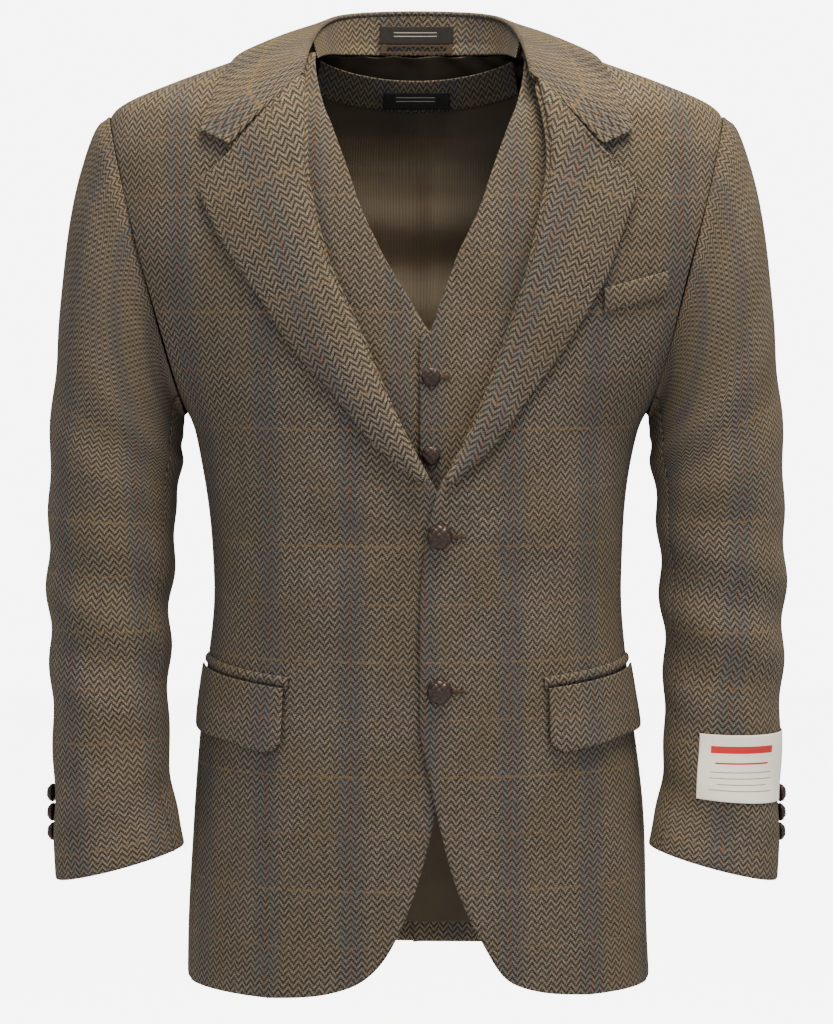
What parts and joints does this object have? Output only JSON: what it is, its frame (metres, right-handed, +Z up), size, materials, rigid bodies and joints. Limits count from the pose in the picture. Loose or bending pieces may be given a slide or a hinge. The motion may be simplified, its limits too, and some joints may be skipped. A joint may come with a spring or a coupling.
{
  "type": "tweed jacket with waistcoat",
  "caption": "Two-button herringbone tweed jacket with notch lapels, flap pockets and plaited leather buttons, worn over its matching waistcoat",
  "frame": {"origin": "back of the neck, where the collar seam crosses the centre back: the point that a hanger or a dress form's neck carries", "axes": "+Z up along the body, -Y the front of the jacket, +X the wearer's left"},
  "size_m": [0.606, 0.2529, 0.806],
  "materials": {
    "tweed": "brown herringbone tweed with a rust, blue and ochre overcheck",
    "satin": "brown satin lining",
    "leather": "plaited oxblood leather",
    "label_dark": "charcoal woven label",
    "label_white": "white woven patch with plain coloured bars",
    "padding": "felted wadding",
    "buckle_metal": "dull steel"
  },
  "bodies": {
    "root": {"front_right": "tweed", "front_left": "tweed", "side_right": "tweed", "side_left": "tweed", "back_right": "tweed", "back_left": "tweed", "lapel_right": "tweed", "lapel_left": "tweed", "collar_leaf": "tweed", "collar_stand": "tweed", "pad_right": "padding", "pad_left": "padding", "lining_back": "satin", "lining_front_right": "satin", "lining_front_left": "satin", "hanger_loop": "satin", "jetting_right": "tweed", "jetting_left": "tweed", "breast_welt": "tweed", "jacket_label": "label_dark", "waistcoat_label": "label_dark", "waistcoat_front_right": "tweed", "waistcoat_front_left": "tweed", "waistcoat_back": "satin", "waistcoat_lining": "satin", "neck_band": "tweed", "strap_right": "satin", "strap_left": "satin"},
    "sleeve_right": {"sleeve_top_right": "tweed", "sleeve_under_right": "tweed", "sleeve_lining_right": "satin"},
    "sleeve_left": {"sleeve_top_left": "tweed", "sleeve_under_left": "tweed", "sleeve_lining_left": "satin", "cuff_label": "label_white"},
    "cuff_button_right_1_body": {"cuff_button_right_1": "leather"},
    "cuff_button_right_2_body": {"cuff_button_right_2": "leather"},
    "cuff_button_right_3_body": {"cuff_button_right_3": "leather"},
    "cuff_button_left_1_body": {"cuff_button_left_1": "leather"},
    "cuff_button_left_2_body": {"cuff_button_left_2": "leather"},
    "cuff_button_left_3_body": {"cuff_button_left_3": "leather"},
    "flap_right_body": {"flap_right": "tweed"},
    "flap_left_body": {"flap_left": "tweed"},
    "front_button_1_body": {"front_button_1": "leather"},
    "front_button_2_body": {"front_button_2": "leather"},
    "waistcoat_button_1_body": {"waistcoat_button_1": "leather"},
    "waistcoat_button_2_body": {"waistcoat_button_2": "leather"},
    "waistcoat_button_3_body": {"waistcoat_button_3": "leather"},
    "waistcoat_button_4_body": {"waistcoat_button_4": "leather"},
    "waistcoat_button_5_body": {"waistcoat_button_5": "leather"},
    "strap_buckle_body": {"strap_buckle": "buckle_metal"}
  },
  "joints": [
    {"name": "sleeve_right_swing", "type": "hinge", "parent": "root", "child": "sleeve_right", "pos_m": [-0.2205, 0, -0.1785], "axis": [-0.9699, 0, -0.2435], "range_deg": [-15, 60]},
    {"name": "sleeve_left_swing", "type": "hinge", "parent": "root", "child": "sleeve_left", "pos_m": [0.2205, 0, -0.1785], "axis": [-0.9699, 0, 0.2435], "range_deg": [-15, 60]},
    {"name": "cuff_button_right_1_turn", "type": "hinge", "parent": "sleeve_right", "child": "cuff_button_right_1_body", "pos_m": [-0.29518, -0.03299, -0.60907], "axis": [-0.9703, 0.2419, 0], "range_deg": [-60, 60]},
    {"name": "cuff_button_right_2_turn", "type": "hinge", "parent": "sleeve_right", "child": "cuff_button_right_2_body", "pos_m": [-0.29475, -0.03581, -0.62455], "axis": [-0.9703, 0.2419, 0], "range_deg": [-60, 60]},
    {"name": "cuff_button_right_3_turn", "type": "hinge", "parent": "sleeve_right", "child": "cuff_button_right_3_body", "pos_m": [-0.29432, -0.03864, -0.64002], "axis": [-0.9703, 0.2419, 0], "range_deg": [-60, 60]},
    {"name": "cuff_button_left_1_turn", "type": "hinge", "parent": "sleeve_left", "child": "cuff_button_left_1_body", "pos_m": [0.29518, -0.03299, -0.60907], "axis": [0.9703, 0.2419, 0], "range_deg": [-60, 60]},
    {"name": "cuff_button_left_2_turn", "type": "hinge", "parent": "sleeve_left", "child": "cuff_button_left_2_body", "pos_m": [0.29475, -0.03581, -0.62455], "axis": [0.9703, 0.2419, 0], "range_deg": [-60, 60]},
    {"name": "cuff_button_left_3_turn", "type": "hinge", "parent": "sleeve_left", "child": "cuff_button_left_3_body", "pos_m": [0.29432, -0.03864, -0.64002], "axis": [0.9703, 0.2419, 0], "range_deg": [-60, 60]},
    {"name": "flap_right_lift", "type": "hinge", "parent": "root", "child": "flap_right_body", "pos_m": [-0.15527, -0.07054, -0.5085], "axis": [-0.6394, 0.7626, 0.0984], "range_deg": [0, 25]},
    {"name": "flap_left_lift", "type": "hinge", "parent": "root", "child": "flap_left_body", "pos_m": [0.15527, -0.07054, -0.5085], "axis": [-0.6394, -0.7626, -0.0984], "range_deg": [0, 25]},
    {"name": "front_button_1_turn", "type": "hinge", "parent": "root", "child": "front_button_1_body", "pos_m": [0.01804, -0.12176, -0.392], "axis": [0, -1, 0], "range_deg": [-60, 60]},
    {"name": "front_button_2_turn", "type": "hinge", "parent": "root", "child": "front_button_2_body", "pos_m": [0.01804, -0.11822, -0.515], "axis": [0, -1, 0], "range_deg": [-60, 60]},
    {"name": "waistcoat_button_1_turn", "type": "hinge", "parent": "root", "child": "waistcoat_button_1_body", "pos_m": [0.01133, -0.1103, -0.267], "axis": [0, -1, 0], "range_deg": [-60, 60]},
    {"name": "waistcoat_button_2_turn", "type": "hinge", "parent": "root", "child": "waistcoat_button_2_body", "pos_m": [0.01123, -0.11179, -0.329], "axis": [0, -1, 0], "range_deg": [-60, 60]},
    {"name": "waistcoat_button_3_turn", "type": "hinge", "parent": "root", "child": "waistcoat_button_3_body", "pos_m": [0.01118, -0.10998, -0.391], "axis": [0, -1, 0], "range_deg": [-60, 60]},
    {"name": "waistcoat_button_4_turn", "type": "hinge", "parent": "root", "child": "waistcoat_button_4_body", "pos_m": [0.01118, -0.10819, -0.453], "axis": [0, -1, 0], "range_deg": [-60, 60]},
    {"name": "waistcoat_button_5_turn", "type": "hinge", "parent": "root", "child": "waistcoat_button_5_body", "pos_m": [0.0112, -0.1064, -0.515], "axis": [0, -1, 0], "range_deg": [-60, 60]},
    {"name": "strap_buckle_slide", "type": "slide", "parent": "root", "child": "strap_buckle_body", "axis": [1, 0, 0], "range_m": [-0.008, 0.008]}
  ]
}
